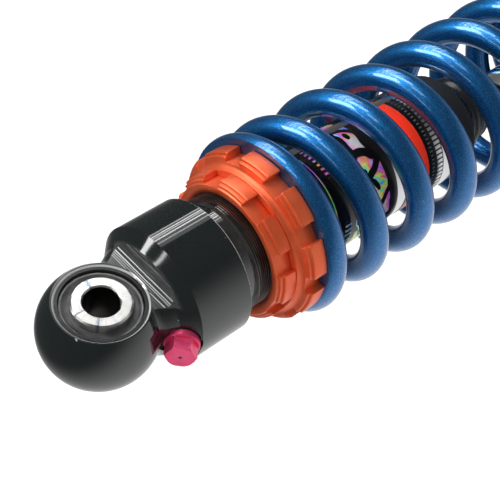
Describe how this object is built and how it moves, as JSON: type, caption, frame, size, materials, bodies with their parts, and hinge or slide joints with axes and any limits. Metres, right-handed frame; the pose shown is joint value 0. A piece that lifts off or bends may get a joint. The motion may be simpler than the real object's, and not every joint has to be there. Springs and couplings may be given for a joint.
{
  "type": "coilover",
  "caption": "Coil-over-shock damper with a blue spring, orange preload and lock rings, a threaded black body, bushed eyes at both ends and a sliding rod.",
  "frame": {"origin": "centre of the upper eye's bolt hole", "axes": "+Z along the damper axis, from the spring towards the upper eye; +Y along both bush bolts; the gas screw is on the -X side"},
  "size_m": [0.0607, 0.0614, 0.285],
  "materials": {
    "black_anodise": "gloss black anodise on turned and milled aluminium",
    "orange_anodise": "satin orange anodise",
    "pink_anodise": "bright pink anodise",
    "blue_paint": "metallic blue powder coat with a clear coat",
    "bare_aluminium": "polished bare aluminium",
    "zinc_steel": "machined and bright zinc plated steel",
    "chrome": "hard chrome plated and polished",
    "black_steel": "gloss black coated steel",
    "bush_rubber": "bonded bush rubber",
    "seal_rubber": "nitrile rubber",
    "bump_foam": "smooth cellular urethane",
    "urethane": "cast urethane",
    "label_film": "printed foil label under a clear film",
    "sintered_bronze": "sintered bronze",
    "ptfe_band": "filled PTFE bearing strip",
    "shim_steel": "spring steel strip"
  },
  "bodies": {
    "damper_body": {"eye_cap": "black_anodise", "upper_bush_shell": "black_steel", "upper_bush_rubber": "bush_rubber", "gas_screw": "pink_anodise", "gas_screw_seal": "seal_rubber", "gas_valve_plug": "seal_rubber", "cap_seal": "seal_rubber", "threaded_collar": "black_anodise", "tube_seal": "seal_rubber", "damper_tube": "bare_aluminium", "main_label": "label_film", "data_label": "label_film", "seal_head": "black_anodise", "seal_head_oring": "seal_rubber", "rod_bushing": "sintered_bronze", "oil_seal": "seal_rubber", "wiper_seal": "seal_rubber", "wiper_circlip": "shim_steel", "bump_stop": "bump_foam"},
    "upper_sleeve": {"upper_bush_sleeve": "zinc_steel"},
    "gas_piston": {"floating_piston": "bare_aluminium", "floating_piston_seal": "seal_rubber"},
    "piston_slide": {"piston_band": "ptfe_band"},
    "rod_assembly": {"damper_rod": "chrome", "piston": "sintered_bronze", "compression_shims": "shim_steel", "rebound_shims": "shim_steel", "piston_nut": "zinc_steel", "top_out_bumper": "urethane", "jam_nut": "zinc_steel", "lower_seat": "black_anodise", "lower_eye": "black_anodise", "lower_bush_shell": "black_steel", "lower_bush_rubber": "bush_rubber"},
    "lower_sleeve": {"lower_bush_sleeve": "zinc_steel"},
    "spring_carrier": {"coil_spring": "blue_paint"},
    "preload_adjuster": {"preload_ring": "orange_anodise"},
    "ring_lock": {"lock_ring": "orange_anodise"}
  },
  "joints": [
    {"name": "rod_slide", "type": "slide", "parent": "damper_body", "child": "piston_slide", "axis": [0, 0, 1], "range_m": [0, 0.045], "stiffness_N_per_m": 57000, "springref_m": -0.004, "deforming": ["coil_spring"]},
    {"name": "rod_swivel", "type": "hinge", "parent": "piston_slide", "child": "rod_assembly", "pos_m": [0, 0, -0.13], "axis": [0, 0, 1], "continuous": true},
    {"name": "gas_piston_slide", "type": "slide", "parent": "damper_body", "child": "gas_piston", "axis": [0, 0, 1], "range_m": [0, 0.0083]},
    {"name": "upper_bush_twist", "type": "hinge", "parent": "damper_body", "child": "upper_sleeve", "pos_m": [0, 0, 0], "axis": [0, 1, 0], "range_deg": [-15, 15], "stiffness_Nm_per_rad": 4},
    {"name": "lower_bush_twist", "type": "hinge", "parent": "rod_assembly", "child": "lower_sleeve", "pos_m": [0, 0, -0.25], "axis": [0, 1, 0], "range_deg": [-15, 15], "stiffness_Nm_per_rad": 4},
    {"name": "preload_travel", "type": "slide", "parent": "damper_body", "child": "spring_carrier", "axis": [0, 0, -1], "range_m": [0, 0.004], "deforming": ["coil_spring"]},
    {"name": "preload_turn", "type": "hinge", "parent": "spring_carrier", "child": "preload_adjuster", "pos_m": [0, 0, -0.057], "axis": [0, 0, -1], "range_deg": [0, 1920]},
    {"name": "lock_turn", "type": "hinge", "parent": "spring_carrier", "child": "ring_lock", "pos_m": [0, 0, -0.05], "axis": [0, 0, 1], "range_deg": [0, 90]}
  ],
  "couplings": [
    {"joint": "gas_piston_slide", "follows": "rod_slide", "ratio": 0.18367},
    {"joint": "preload_turn", "follows": "preload_travel", "rad_per_m": 8377.6}
  ]
}
